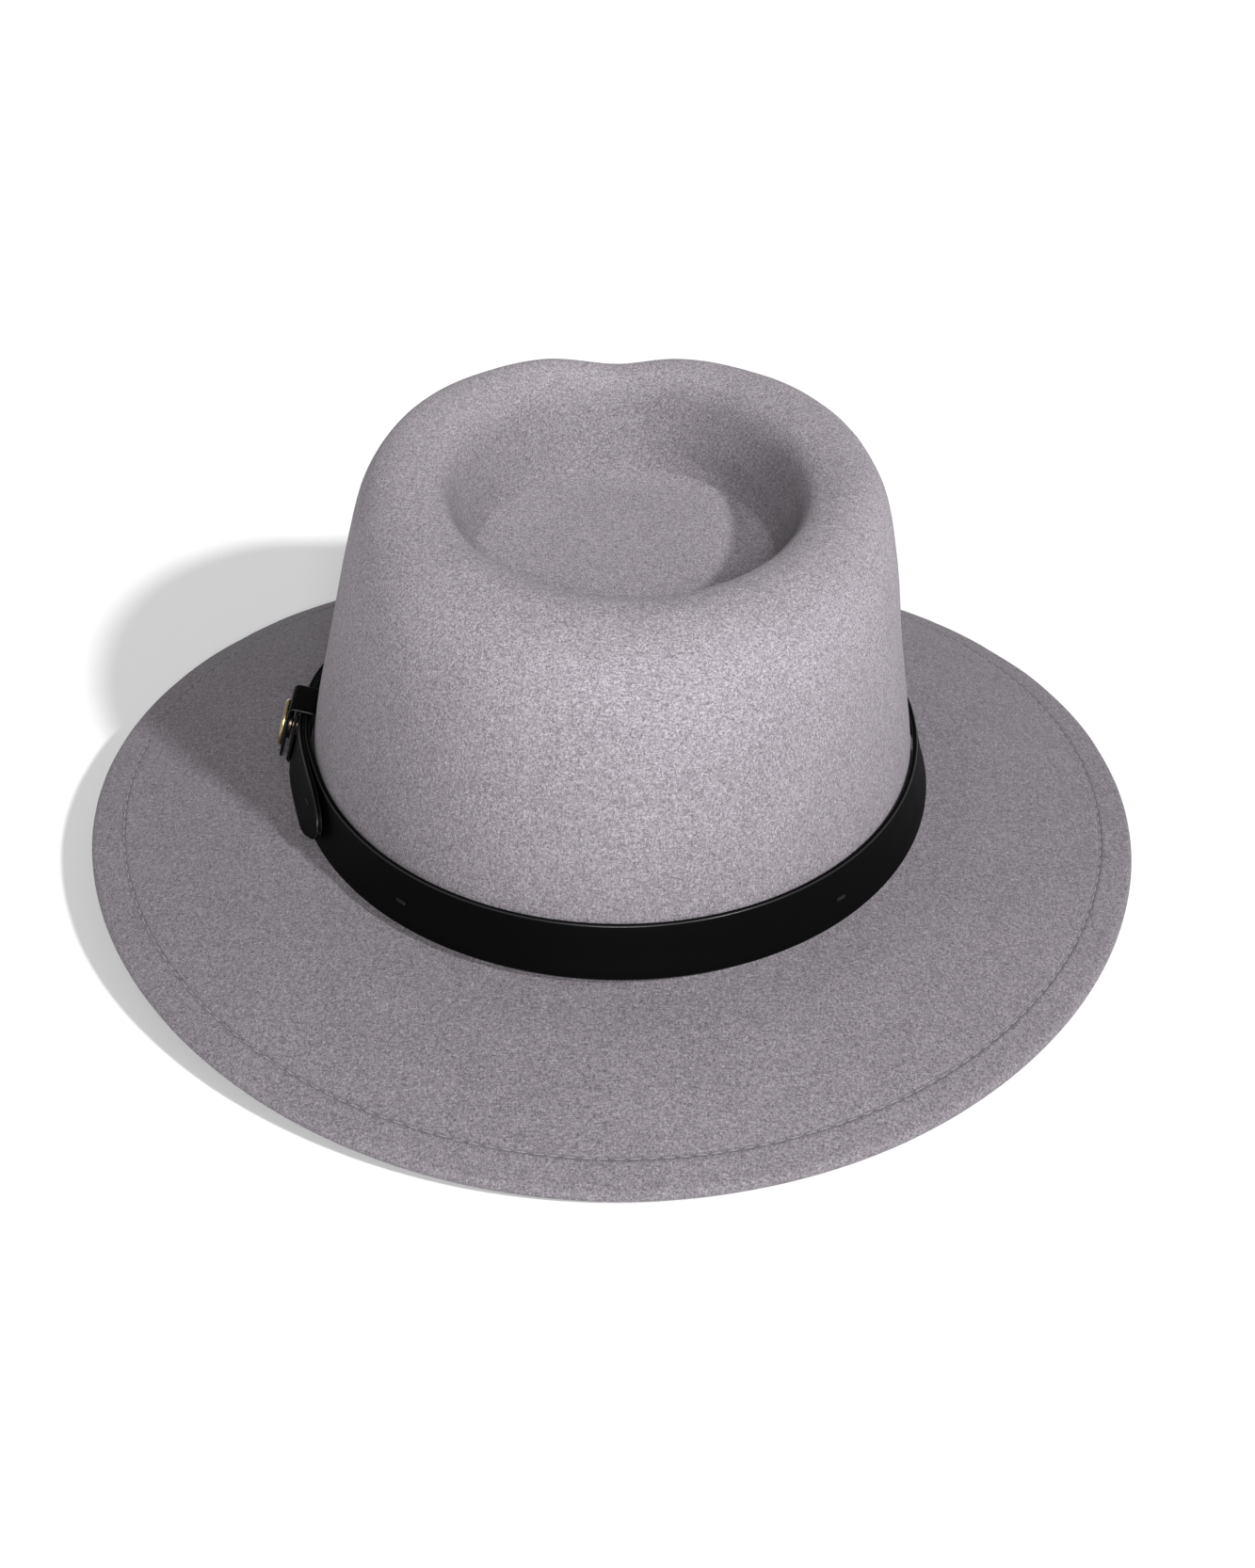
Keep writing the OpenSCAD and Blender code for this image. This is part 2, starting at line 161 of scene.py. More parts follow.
def newObject(name, bm, finish, body="root"):
    mesh = bpy.data.meshes.new(name)
    bm.to_mesh(mesh)
    bm.free()
    mesh.transform(Matrix.Scale(mm, 4))
    for face in mesh.polygons:
        face.use_smooth = True
    piece = bpy.data.objects.new(name, mesh)
    bpy.context.scene.collection.objects.link(piece)
    mesh.materials.append(finish)
    if body:
        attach(piece, body)
    return piece


# a ring of points is extruded ring after ring; place(ring, slot) says where each point goes
def loftRings(place, rings, slots, ends):
    bm = bmesh.new()
    slotTag = bm.verts.layers.int.new("slot")
    ringTag = bm.verts.layers.int.new("ring")
    verts = bmesh.ops.create_circle(bm, segments=slots, radius=1)["verts"]
    for i, vert in enumerate(verts):
        vert[slotTag] = i
        vert.co = place(0, i)
    firstEdges = edges = list(bm.edges)
    firstVerts = verts
    for r in range(1, rings):
        made = bmesh.ops.extrude_edge_only(bm, edges=edges)["geom"]
        verts = [g for g in made if isinstance(g, bmesh.types.BMVert)]
        fresh = set(verts)
        edges = [g for g in made if isinstance(g, bmesh.types.BMEdge)
                 and g.verts[0] in fresh and g.verts[1] in fresh]
        for vert in verts:
            vert[ringTag] = r
            vert.co = place(r, vert[slotTag])
    if ends == "joined":
        bmesh.ops.bridge_loops(bm, edges=firstEdges + edges)
    if ends == "filled":
        bmesh.ops.contextual_create(bm, geom=firstEdges)
        bmesh.ops.contextual_create(bm, geom=edges)
    if ends == "poles":
        for group in (firstVerts, verts):
            middle = sum((vert.co for vert in group), Vector()) / len(group)
            bmesh.ops.pointmerge(bm, verts=group, merge_co=middle)
    bmesh.ops.recalc_face_normals(bm, faces=bm.faces)
    return bm


# shader maths on sockets
class Signal:
    def __init__(self, finish, socket):
        self.finish, self.socket = finish, socket

    def maths(self, operation, first, second=None):
        values = {0: first} if second is None else {0: first, 1: second}
        return self.finish.node("ShaderNodeMath", {"operation": operation}, values)

    def __add__(self, other):
        return self.maths("ADD", self, other)

    def __radd__(self, other):
        return self.maths("ADD", other, self)

    def __sub__(self, other):
        return self.maths("SUBTRACT", self, other)

    def __rsub__(self, other):
        return self.maths("SUBTRACT", other, self)

    def __mul__(self, other):
        return self.maths("MULTIPLY", self, other)

    def __rmul__(self, other):
        return self.maths("MULTIPLY", other, self)


class Finish:
    def __init__(self, name, **constants):
        self.material = bpy.data.materials.new(name)
        self.material.use_nodes = True
        self.tree = self.material.node_tree
        self.tree.nodes.clear()
        self.output = self.tree.nodes.new("ShaderNodeOutputMaterial")
        self.shader = self.tree.nodes.new("ShaderNodeBsdfPrincipled")
        self.tree.links.new(self.shader.outputs[0], self.output.inputs[0])
        for socket, value in constants.items():
            self.shader.inputs[socket.replace("_", " ")].default_value = value
        self.place = self.node("ShaderNodeTexCoord", out="Object")

    def node(self, kind, settings=None, values=None, out=0):
        made = self.tree.nodes.new(kind)
        for key, value in (settings or {}).items():
            if key == "stops":
                ramp = made.color_ramp
                while len(ramp.elements) < len(value):
                    ramp.elements.new(0.5)
                for element, (spot, colour) in zip(ramp.elements, value):
                    element.position = spot
                    element.color = colour if len(colour) == 4 else (*colour, 1)
            else:
                setattr(made, key, value)
        for key, value in (values or {}).items():
            self.feed(made.inputs[key], value)
        return Signal(self, made.outputs[out])

    def feed(self, socket, value):
        if isinstance(value, Signal):
            self.tree.links.new(value.socket, socket)
        elif hasattr(socket.default_value, "__len__") and not hasattr(value, "__len__"):
            socket.default_value = [value] * len(socket.default_value)
        elif hasattr(value, "__len__") and len(socket.default_value) == 4 and len(value) == 3:
            socket.default_value = (*value, 1)
        else:
            socket.default_value = value

    def noise(self, scale, detail=2, rough=0.5, vector=None, warp=0):
        values = {"Vector": vector or self.place, "Scale": scale, "Detail": detail,
                  "Roughness": rough, "Distortion": warp}
        return self.node("ShaderNodeTexNoise", None, values)

    def stretched(self, scale, turn=(0, 0, 0)):
        return self.node("ShaderNodeMapping", None,
                         {"Vector": self.place, "Scale": scale, "Rotation": turn})

    def ramp(self, value, stops):
        return self.node("ShaderNodeValToRGB", {"stops": stops}, {0: value})

    def range(self, value, low, high, toLow=0, toHigh=1):
        return self.node("ShaderNodeMapRange", None,
                         {0: value, 1: low, 2: high, 3: toLow, 4: toHigh})

    def mixColour(self, share, a, b, kind="MIX"):
        return self.node("ShaderNodeMix", {"data_type": "RGBA", "blend_type": kind},
                         {0: share, 6: a, 7: b}, out=2)

    def scaled(self, colour, factor):
        return self.node("ShaderNodeVectorMath", {"operation": "SCALE"}, {0: colour, 3: factor})

    def attribute(self, name):
        return self.node("ShaderNodeAttribute", {"attribute_name": name}, out="Fac")

    def bump(self, height, distance, strength=1, below=None):
        values = {"Height": height, "Distance": distance, "Strength": strength}
        if below:
            values["Normal"] = below
        return self.node("ShaderNodeBump", None, values)

    def set(self, **sockets):
        for name, value in sockets.items():
            self.feed(self.shader.inputs[name.replace("_", " ")], value)
        return self.material


# wool felt, a fine melange of grey fibres with a trace of violet; the tones are factors on the fibres'
# colour:
# painted shade on the brim, painted light at the top of the crown and painted shade on the dent's
# walls
feltLook = {"dark": (0.082, 0.074, 0.083), "mid": (0.178, 0.162, 0.179),
            "light": (0.31, 0.287, 0.311), "brimShadeTone": 0.88,
            "crownLightTone": 1.32, "dentShadeTone": 0.72, "brimLevel": 0.028, "crownLevel": 0.1,
            "speck": 1900, "fibre": 2700, "stretch": 0.17,
            "mottle": 700, "cloud": 45, "nap": 0.00004}


def makeFelt():
    f = Finish("greyWoolFelt", Sheen_Weight=0.08, Sheen_Roughness=0.55,
               Sheen_Tint=(0.9, 0.87, 0.92, 1), Specular_IOR_Level=0.12)
    thin, long = feltLook["fibre"], feltLook["fibre"] * feltLook["stretch"]
    specks = f.noise(feltLook["speck"], 4, 0.7, warp=0.8)
    fibresA = f.noise(1, 3, 0.7, f.stretched((long, thin, thin), (0, 0, 0.6)), 0.6)
    fibresB = f.noise(1, 3, 0.7, f.stretched((thin, long, thin), (0.5, 0, 0.2)), 0.6)
    fibresC = f.noise(1, 3, 0.7, f.stretched((thin, thin, long), (0.3, 0.4, 0)), 0.6)
    clouds = f.noise(feltLook["cloud"], 3, 0.6)
    mottle = f.noise(feltLook["mottle"], 3, 0.65)
    grain = specks * 0.4 + fibresA * 0.18 + fibresB * 0.18 + fibresC * 0.18 + mottle * 0.06
    tone = f.range(grain + (clouds - 0.5) * 0.03, 0.42, 0.58)
    colour = f.ramp(tone, [(0.0, feltLook["dark"]), (0.5, feltLook["mid"]),
                           (1.0, feltLook["light"])])
    fluff = specks * 0.5 + fibresA * 0.3 + fibresC * 0.3
    soft = f.bump(mottle, feltLook["nap"], 0.2)
    normal = f.bump(fluff, feltLook["nap"], 0.7, soft)
    # painted light and shade by height: the felt is darkened on the brim and lightened towards the top
    # of the crown
    height = f.node("ShaderNodeSeparateXYZ", None, {"Vector": f.place}, out="Z")
    paintedHeightLight = f.range(height, feltLook["brimLevel"], feltLook["crownLevel"],
                     feltLook["brimShadeTone"], feltLook["crownLightTone"])
    # painted shade on the dent's walls
    pressed = 1 - f.attribute("pressed") * (1 - feltLook["dentShadeTone"])
    colour = f.scaled(colour, paintedHeightLight * pressed)
    # painted shade: the felt is darkened along the brim's stitch groove
    groove = f.attribute("groove")
    shade = f.mixColour(groove * 0.5, colour, (0.06, 0.055, 0.06))
    return f.set(Base_Color=shade, Roughness=0.93, Normal=normal)


# smooth black strap leather with a fine closed grain; its edges carry a clear coat and are painted
# lighter, partly worn leather and partly painted highlight
leatherLook = {"face": (0.0016, 0.0015, 0.0017), "wornAndHighlight": (0.028, 0.027, 0.029), "pore": 2600,
               "polish": 0.5}


def makeStrapLeather():
    f = Finish("blackStrapLeather", Specular_IOR_Level=0.025, Coat_Roughness=0.3)
    pores = f.node("ShaderNodeTexVoronoi", {"feature": "DISTANCE_TO_EDGE"},
                   {"Vector": f.place, "Scale": leatherLook["pore"]})
    creases = f.noise(420, 4, 0.6, warp=0.5)
    hand = f.noise(60, 3, 0.6)
    edge = f.attribute("arris")
    # the edges painted lighter: partly worn leather, partly painted highlight
    colour = f.mixColour(edge * (0.35 + hand * 0.5), leatherLook["face"], leatherLook["wornAndHighlight"])
    rough = 0.36 + hand * 0.14 + creases * 0.08 - edge * 0.1
    grain = f.bump(f.range(pores, 0, 0.35), 0.00004, 0.35)
    normal = f.bump(creases, 0.00006, 0.3, grain)
    return f.set(Base_Color=colour, Roughness=rough, Coat_Weight=edge * leatherLook["polish"],
                 Normal=normal)


def makeSweatLeather():
    f = Finish("darkSweatLeather", Specular_IOR_Level=0.35)
    cells = f.node("ShaderNodeTexVoronoi", {"feature": "DISTANCE_TO_EDGE"},
                   {"Vector": f.place, "Scale": 900})
    soft = f.noise(120, 4, 0.6)
    colour = f.ramp(soft, [(0.3, (0.016, 0.015, 0.015)), (0.7, (0.032, 0.03, 0.03))])
    normal = f.bump(f.range(cells, 0, 0.3) + soft * 0.5, 0.00012, 0.5)
    return f.set(Base_Color=colour, Roughness=0.55 + soft * 0.15, Normal=normal)


def makeBrass(name, bright, stained):
    f = Finish(name, Specular_IOR_Level=0.5)
    stain = f.noise(380, 5, 0.65)
    fine = f.noise(2400, 3, 0.6)
    recess = f.attribute("recess")
    dark = f.range(stain, 0.42, 0.62)
    colour = f.mixColour(dark * 0.35 + recess * 0.6, bright, stained)
    normal = f.bump(fine, 0.00003, 0.3)
    return f.set(Base_Color=colour, Metallic=1 - recess * 0.3,
                 Roughness=0.24 + dark * 0.2 + recess * 0.25, Normal=normal)


def makeSteel():
    base = (0.55, 0.56, 0.58)
    f = Finish("drawnSteel")
    drawn = f.noise(1, 3, 0.6, f.stretched((300, 300, 2600)))
    colour = f.mixColour(drawn, base, tuple(c * 0.7 for c in base))
    return f.set(Base_Color=colour, Metallic=0.95 + drawn * 0.05, Roughness=0.3 + drawn * 0.15,
                 Normal=f.bump(drawn, 0.00002, 0.2))


def makeThread(name, light, dark, shine=0.25):
    f = Finish(name, Sheen_Weight=shine, Specular_IOR_Level=shine)
    twist = f.node("ShaderNodeTexWave", {"wave_type": "BANDS", "bands_direction": "DIAGONAL"},
                   {"Vector": f.place, "Scale": 1400, "Distortion": 1.5})
    colour = f.mixColour(twist, dark, light)
    return f.set(Base_Color=colour, Roughness=0.7 + twist * 0.1,
                 Normal=f.bump(twist, 0.00008, 0.6))


def makeRibbon(name, light, dark, ribs):
    f = Finish(name, Sheen_Weight=0.25, Specular_IOR_Level=0.3)
    rib = f.node("ShaderNodeTexWave", {"wave_type": "BANDS", "bands_direction": "X"},
                 {"Vector": f.place, "Scale": ribs, "Distortion": 0.4})
    weft = f.noise(1800, 2, 0.5)
    tone = rib * 0.7 + weft * 0.3
    return f.set(Base_Color=f.mixColour(tone, dark, light), Roughness=0.62 + weft * 0.15,
                 Normal=f.bump(tone, 0.0001, 0.6))


def makePlastic():
    f = Finish("clearedPlastic", Specular_IOR_Level=0.4)
    haze = f.noise(260, 3, 0.5)
    colour = f.mixColour(haze, (0.55, 0.54, 0.5), (0.68, 0.66, 0.62))
    return f.set(Base_Color=colour, Roughness=0.4 + haze * 0.15, Normal=f.bump(haze, 0.00003, 0.3))


felt = makeFelt()
strapLeather = makeStrapLeather()
sweatLeather = makeSweatLeather()
brass = makeBrass("agedBrass", (0.60, 0.47, 0.25), (0.10, 0.075, 0.04))
innerBrass = makeBrass("blackenedBrass", (0.06, 0.05, 0.038), (0.02, 0.017, 0.014))
steel = makeSteel()
tackThread = makeThread("blackThread", (0.02, 0.02, 0.02), (0.003, 0.003, 0.003), 0.03)
brimThread = makeThread("greyThread", (0.3, 0.28, 0.29), (0.16, 0.15, 0.155))
sweatThread = makeThread("sweatThread", (0.34, 0.33, 0.33), (0.16, 0.155, 0.155))
blackRibbon = makeRibbon("blackGrosgrain", (0.03, 0.03, 0.032), (0.009, 0.009, 0.01), 420)
labelCloth = makeRibbon("plainLabelCloth", (0.72, 0.7, 0.65), (0.55, 0.53, 0.48), 520)
plastic = makePlastic()
print("finishes made")

# the felt: one sheet from the dent over the crest, down the wall, out to the fold and back inside
feltMesh = {"around": 256, "crownStep": 1 / 6, "insideStep": 1 / 4, "grooveDepth": 0.42,
            "grooveWidth": 0.75, "foldSteps": 10}


def feltProfile():
    rows = []
    v = lastRing + 0.3
    while v > 0.01:
        rows.append(("top", v))
        v -= feltMesh["crownStep"]
    v = 0
    while edgeV(12) < v:
        rows.append(("top", v))
        v -= 1 / 8
    for u in (11.6, 10.8, 10.3, 10.0, 9.75, 9.5, 9.25, 9.0, 8.7, 8.2, 7.4, 6.4, 5.2, 4.0, 3.0):
        rows.append(("top", edgeV(u)))
    for i in range(feltMesh["foldSteps"] + 1):
        rows.append(("fold", 180 * i / feltMesh["foldSteps"]))
    for u in (3.2, 4.6, 6.0, 7.6, 8.8, 9.3, 9.7, 10.0):
        rows.append(("bottom", edgeV(u)))
    for a in (0, 45, 90, 135, 180):
        rows.append(("lip", a))
    for u in (9.6, 7.5):
        rows.append(("slitLow", edgeV(u)))
    for u in (7.5, 9.6, 11, 12.4):
        rows.append(("inside", edgeV(u)))
    v = edgeV(14)
    while v < lastRing + 0.3:
        rows.append(("inside", v))
        v += feltMesh["insideStep"]
    return rows


def grooveAt(v):
    d = ((v - edgeV(hat["stitchInset"])) * knotWidth) / feltMesh["grooveWidth"]
    return math.exp(-d * d * 2)


# painted shade: the felt's colour is darkened on the dent's walls, from just inside the crest down to
# the floor's edge
def dentShadeAt(v):
    return ease(v - 7.7) * (1 - ease((v - 10.3) / 0.7))


def feltPoint(t, kind, value):
    if kind == "top":
        return under(t, value, feltMesh["grooveDepth"] * grooveAt(value))
    if kind == "bottom":
        return under(t, value, foldThick - 0.3 * grooveAt(value))
    if kind == "inside":
        return under(t, value, hat["felt"])
    if kind == "slitLow":
        return under(t, value, hat["felt"] + hat["slit"])
    if kind == "lip":
        v = edgeV(hat["weltWidth"] - 0.4)
        half = hat["weltLayer"] / 2
        middle = under(t, v, foldThick - half)
        a = math.radians(value)
        return middle + along(t, v) * math.sin(a) * 0.7 - outward(t, v) * math.cos(a) * half
    r = foldThick / 2
    v = edgeV(r)
    a = math.radians(value)
    middle = under(t, v, r)
    return middle - along(t, v) * math.sin(a) * r + outward(t, v) * math.cos(a) * r


def buildFelt():
    rows = feltProfile()
    count = feltMesh["around"]

    def place(ring, slot):
        return feltPoint(slot * math.tau / count, *rows[ring])

    bm = loftRings(place, len(rows), count, "poles")
    # mask for the painted shade along the stitch groove
    groove = bm.verts.layers.float.new("groove")
    # mask for the painted shade on the dent's walls
    pressed = bm.verts.layers.float.new("pressed")
    ringTag = bm.verts.layers.int["ring"]
    for vert in bm.verts:
        kind, value = rows[vert[ringTag]]
        vert[groove] = grooveAt(value) if kind in ("top", "bottom") else 0
        vert[pressed] = dentShadeAt(value) if kind == "top" else 0
    body = newObject("feltBody", bm, felt)
    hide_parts("crown_felt", "brim_felt")
    return body


buildFelt()
print("felt body made")


# stitches: each a small arched capsule half sunk in its seam
def stitchRun(name, count, share, place, normalAt, width, finish, body="root"):
    bm = bmesh.new()
    step = math.tau / count
    for i in range(count):
        a = i * step + rng.uniform(-0.06, 0.06) * step
        b = a + step * share
        start, end = place(a), place(b)
        up = normalAt((a + b) / 2)
        run = end - start
        side = up.cross(run).normalized()
        up = run.cross(side).normalized()
        turn = Matrix((run.normalized(), side, up)).transposed().to_4x4()
        spot = Matrix.Translation((start + end) / 2)
        size = Matrix.Diagonal((run.length / 2, width, width * 0.8, 1))
        bmesh.ops.create_uvsphere(bm, u_segments=6, v_segments=5, radius=1,
                                  matrix=spot @ turn @ size @ Matrix.Rotation(math.pi / 2, 4, "Y"))
    piece = newObject(name, bm, finish, body)
    return piece


seam = {"count": 224, "share": 0.74, "width": 0.19, "sink": 0.38}
seamV = edgeV(hat["stitchInset"])
topStitches = stitchRun("brimSeam", seam["count"], seam["share"],
                        lambda t: under(t, seamV, seam["sink"]), lambda t: outward(t, seamV),
                        seam["width"], brimThread)
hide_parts("brim_stitches")
stitchRun("brimSeamBelow", seam["count"], seam["share"],
          lambda t: under(t, seamV, foldThick - seam["sink"]),
          lambda t: -outward(t, seamV),
          seam["width"], brimThread)
print("brim seam made")

# the strap: one length of leather that runs once round and laps over its own start
strap = {"height": 15.5, "thickness": 1.5, "start": -24, "end": 387, "low": 1.9, "flare": 2,
         "corner": 0.38, "step": 1.5, "tip": 12, "near": 1.5, "far": 0.4, "nearHold": 9,
         "nearFade": 22, "lapGap": 0.2, "lapTurn": 344, "lapFade": 14, "tipLift": 1.1, "tipFade": 20}
keeper = {"angle": -3, "width": 14, "leather": 0.8}
degreeLength = 1.55
strapTop = strap["low"] + strap["height"]
strapMiddle = strap["low"] + strap["height"] / 2


def strapOff(s):
    near = min(abs(s - keeper["angle"]), abs(s - 360 - keeper["angle"])) * degreeLength
    off = blendValue(strap["near"], strap["far"], ease((near - strap["nearHold"]) / strap["nearFade"]))
    lap = ease((s - strap["start"] - strap["lapTurn"]) / strap["lapFade"])
    off += (strap["thickness"] + strap["lapGap"]) * lap
    return off + strap["tipLift"] * ease((s - strap["end"] + strap["tipFade"]) / strap["tipFade"])


def tipScale(s):
    d = (strap["end"] - s) * degreeLength / strap["tip"]
    return 1 if d >= 1 else math.sqrt(max(0.004, 1 - (1 - d) ** 2))


def flareAt(z):
    return strap["flare"] * (1 - (z - strap["low"]) / strap["height"])


def strapFace(s, z, off):
    t = math.radians(s)
    v = wallV(max(z, foot))
    n = outward(t, v)
    return skin(t, v) + along(t, v) * min(0, z - foot) + n * (off + flareAt(z))


# rounded rectangle, anticlockwise: (across, through, arris share)
def roundedSection(height, thick, corner, cornerSteps=3, faceSteps=4):
    points = []
    h, w = height / 2 - corner, thick / 2 - corner
    for cx, cy, first in ((h, w, 0), (-h, w, 90), (-h, -w, 180), (h, -w, 270)):
        for i in range(cornerSteps + 1):
            a = math.radians(first + 90 * i / cornerSteps)
            share = math.sin(math.radians(180 * i / cornerSteps))
            points.append((cx + corner * math.cos(a), cy + corner * math.sin(a), share))
        if first in (0, 180):
            side = 1 if first == 0 else -1
            for i in range(1, faceSteps):
                points.append((side * h * (1 - 2 * i / faceSteps), side * (w + corner), 0))
    return points


def buildStrap():
    section = roundedSection(strap["height"], strap["thickness"], strap["corner"])
    stops = []
    s = strap["start"]
    while s < strap["end"] - 8.5:
        stops.append(s)
        s += strap["step"]
    stops += [strap["end"] - d for d in (7.8, 7, 6.2, 5.4, 4.6, 3.8, 3.1, 2.5, 1.9, 1.4, 0.9, 0.5,
                                         0.25, 0.1, 0)]

    def place(ring, slot):
        s = stops[ring]
        across, through, share = section[slot]
        return strapFace(s, strapMiddle + across * tipScale(s),
                         strapOff(s) + strap["thickness"] / 2 + through)

    bm = loftRings(place, len(stops), len(section), "filled")
    arris = bm.verts.layers.float.new("arris")
    slotTag = bm.verts.layers.int["slot"]
    for vert in bm.verts:
        vert[arris] = section[vert[slotTag]][2]
    piece = newObject("hatStrap", bm, strapLeather)
    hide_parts("hat_band")


buildStrap()
print("strap made")

# the keeper's own frame: outwards, forwards round the band, up along the strap's lean
lean = math.atan(wallLean / wallRise + strap["flare"] / strap["height"])
outerShift = strapTop * math.tan(lean) - (strapTop - foot) * wallLean / wallRise
keeperTurn = math.radians(keeper["angle"])
keeperFrame = (Matrix.Translation((footA * math.cos(keeperTurn), footB * math.sin(keeperTurn), lift))
               @ Matrix.Rotation(math.atan2(math.sin(keeperTurn) / footB,
                                            math.cos(keeperTurn) / footA), 4, "Z")
               @ Matrix.Translation((outerShift, 0, 0))
               @ Matrix.Rotation(-lean, 4, "Y"))
wrapTop = strapTop + 0.4
wrapLow = strap["low"] - 1.3
studZ = strapMiddle - 0.2
frontIn = strap["near"] + 2 * strap["thickness"] + 0.5
flapIn = frontIn + keeper["leather"] + 1.4


def roundedPath(corners, steps=7):
    path = [Vector(corners[0][:2])]
    for before, here, after in zip(corners, corners[1:], corners[2:]):
        p, q, r = (Vector(c[:2]) for c in (before, here, after))
        reach = here[2]
        a, b = q + (p - q).normalized() * reach, q + (r - q).normalized() * reach
        path += [a * (1 - f) ** 2 + q * 2 * f * (1 - f) + b * f ** 2
                 for f in (i / steps for i in range(steps + 1))]
    path.append(Vector(corners[-1][:2]))
    return path


def buildKeeper():
    half = keeper["width"] / 2
    t = keeper["leather"] / 2
    tip, low, front, top = wrapLow - 1.4, wrapLow + t, frontIn + t, wrapTop + t
    corners = [(front, wrapTop - 2, 0), (front, low, 1.0), (0.3 + t, low, 0.8), (0.3 + t, top, 0.9),
               (flapIn + t, top, 1.5), (flapIn + t, tip, 0)]
    path = roundedPath(corners)
    last = path.pop()
    top = path[-1]
    path += [top.lerp(last, f) for f in (0.12, 0.24, 0.36, 0.45, 0.54, 0.62, 0.70, 0.77, 0.83,
                                         0.88, 0.92, 0.95, 0.975, 0.99, 1)]
    section = roundedSection(keeper["width"], keeper["leather"], 0.3)

    def place(ring, slot):
        p = path[ring]
        a, b = path[max(ring - 1, 0)], path[min(ring + 1, len(path) - 1)]
        run = (b - a).normalized()
        n = Vector((-run.y, run.x))
        across, through, share = section[slot]
        down = p.y - tip
        onFlap = ring > len(path) - 16
        scale = math.sqrt(max(0.003, 1 - (1 - down / half) ** 2)) if onFlap and down < half else 1
        spot = p + n * through
        return keeperFrame @ Vector((spot.x, across * scale, spot.y))

    bm = loftRings(place, len(path), len(section), "filled")
    arris = bm.verts.layers.float.new("arris")
    slotTag = bm.verts.layers.int["slot"]
    for vert in bm.verts:
        vert[arris] = section[vert[slotTag]][2]
    piece = newObject("keeperLeather", bm, strapLeather, None)
    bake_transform(piece)
    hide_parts("keeper_wrap", "keeper_flap")


buildKeeper()


# a profile of (radius, height, recess share) spun round the stud's axis
def turned(name, profile, outN, finish, body, steps=64):
    bm = bmesh.new()
    recess = bm.verts.layers.float.new("recess")
    points = []
    for r, h, share in profile:
        vert = bm.verts.new((r, 0, h))
        vert[recess] = share
        points.append(vert)
    edges = [bm.edges.new(pair) for pair in zip(points, points[1:])]
    bmesh.ops.spin(bm, geom=points + edges, cent=(0, 0, 0), axis=(0, 0, 1), dvec=(0, 0, 0),
                   angle=math.tau, steps=steps, use_merge=True, use_duplicate=False)
    bmesh.ops.remove_doubles(bm, verts=bm.verts, dist=0.001)
    bmesh.ops.recalc_face_normals(bm, faces=bm.faces)
    bm.transform(keeperFrame @ Matrix.Translation((outN, 0, studZ))
                 @ Matrix.Rotation(math.pi / 2, 4, "Y"))
    piece = newObject(name, bm, finish, body)
    return piece


# a rivet shank, a rolled rim and a low dome inside it
capShape = {"radius": 6.75, "roll": 0.55, "rollHeight": 0.62, "shank": 1.2, "shankLength": 0.85}
rollRadius = capShape["radius"] - capShape["roll"]
capProfile = [(0, -capShape["shankLength"], 0), (capShape["shank"], -capShape["shankLength"], 0),
              (capShape["shank"], 0, 0), (capShape["radius"] - 0.5, 0, 0.3)]
capProfile += [(rollRadius + capShape["roll"] * math.cos(math.radians(a)),
                capShape["rollHeight"] * (1 + math.sin(math.radians(a))), 0)
               for a in range(-75, 166, 20)]
capProfile += [(5.35, 0.74, 1), (5.1, 0.72, 1), (4.7, 0.8, 0.7), (4.2, 0.95, 0.2), (3.4, 1.1, 0),
               (2.4, 1.2, 0), (1.2, 1.27, 0), (0, 1.29, 0)]
cap = turned("studCap", capProfile, flapIn + keeper["leather"], brass, "keeper")
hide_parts("snap_cap")
print("keeper made")

# sweatband, its cord, tape, seam, bow and label
sweat = {"low": 5, "height": 32, "thickness": 1.0, "gap": 0.3, "around": 192,
         "stitches": 144, "stitchShare": 0.68, "stitchWidth": 0.26}
sweatDepth = hat["felt"] + sweat["gap"]


def ringPiece(name, points, finish, node):
    def place(ring, slotIndex):
        return points(slotIndex * math.tau / sweat["around"])[ring]

    bm = loftRings(place, len(points(0)), sweat["around"], "joined")
    piece = newObject(name, bm, finish)
    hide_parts(node)
    return piece


def sweatProfile(t):
    steps = 10
    zs = [sweat["low"] + sweat["height"] * i / steps for i in range(steps + 1)]
    outer = [under(t, wallV(z), sweatDepth) for z in zs]
    inner = [under(t, wallV(z), sweatDepth + sweat["thickness"]
                   + 0.25 * math.exp(-((z - sweat["low"] - 4) / 0.5) ** 2) * -1) for z in reversed(zs)]
    lip = under(t, wallV(zs[-1] + 0.3), sweatDepth + sweat["thickness"] / 2)
    return outer + [lip] + inner


reedV = wallV(sweat["low"] - 1.6)


def reedCentre(t):
    return under(t, reedV, sweatDepth + 1.6)


def cordProfile(t, r=1.0, steps=12):
    c, e, n = reedCentre(t), -along(t, reedV), outward(t, reedV)
    return [c + (e * math.cos(i * math.tau / steps) + n * math.sin(i * math.tau / steps)) * r
            for i in range(steps)]


def tapeProfile(t):
    c, u, n = reedCentre(t), along(t, reedV), outward(t, reedV)
    turns = [math.radians(200 + 140 * i / 8) for i in range(9)]
    outer = [c + (n * math.cos(a) + u * math.sin(a)) * 1.45 for a in turns]
    inner = [c + (n * math.cos(a) + u * math.sin(a)) * 1.2 for a in reversed(turns)]
    return outer + inner


